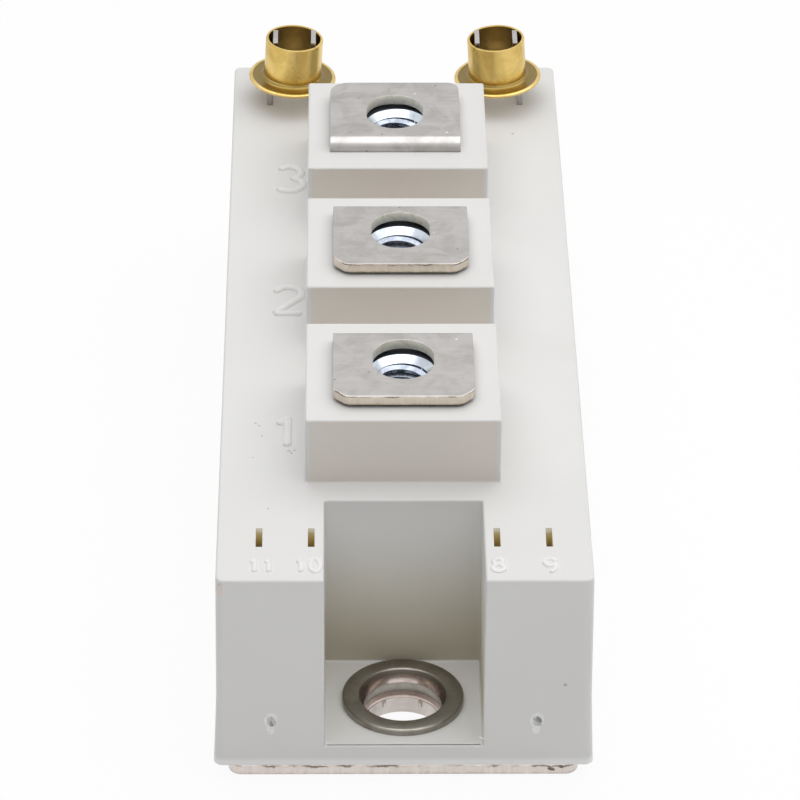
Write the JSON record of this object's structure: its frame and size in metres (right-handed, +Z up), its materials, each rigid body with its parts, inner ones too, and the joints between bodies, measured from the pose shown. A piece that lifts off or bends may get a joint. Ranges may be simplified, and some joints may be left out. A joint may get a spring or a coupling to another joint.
{
  "type": "igbt module",
  "caption": "Flat half-bridge power transistor module: off-white case on a metal base plate, screw terminals along the top, auxiliary tabs with shorting ferrules and screw recesses at the ends.",
  "frame": {"origin": "centre of the base plate's underside, on the heatsink plane", "axes": "+Z up out of the heatsink, Y along the module with terminal 1 at -Y, X across it"},
  "size_m": [0.034, 0.094, 0.0298],
  "materials": {
    "nickel_plate": "bright nickel plating on copper",
    "case_plastic": "satin, off-white",
    "dark_nickel": "dull nickel plating on steel",
    "zinc_plate": "bright blue zinc plating",
    "brass_sheet": "drawn, bright",
    "copper": "bare copper",
    "alumina": "fine matt",
    "silicon": "metallised silicon",
    "bond_aluminium": "drawn wire",
    "silicone_gel": "clear, soft"
  },
  "bodies": {
    "root": {"base_plate": "nickel_plate", "housing": "case_plastic", "mounting_bush_front": "dark_nickel", "mounting_bush_rear": "dark_nickel", "terminal_1": "nickel_plate", "terminal_2": "nickel_plate", "terminal_3": "nickel_plate", "nut_1": "zinc_plate", "nut_2": "zinc_plate", "nut_3": "zinc_plate", "gate_tab_lower": "nickel_plate", "emitter_tab_lower": "nickel_plate", "emitter_tab_upper": "nickel_plate", "gate_tab_upper": "nickel_plate", "ferrule_left": "brass_sheet", "ferrule_right": "brass_sheet", "foil_upper": "copper", "foil_lower": "copper", "ceramic_upper": "alumina", "ceramic_lower": "alumina", "circuit_upper": "copper", "circuit_lower": "copper", "igbt_chips_upper": "silicon", "igbt_chips_lower": "silicon", "diode_chips_upper": "silicon", "diode_chips_lower": "silicon", "bond_wires_upper": "bond_aluminium", "bond_wires_lower": "bond_aluminium", "link_wires": "bond_aluminium", "gate_lead_lower": "copper", "emitter_lead_lower": "copper", "emitter_lead_upper": "copper", "gate_lead_upper": "copper", "gel": "silicone_gel"}
  },
  "joints": []
}
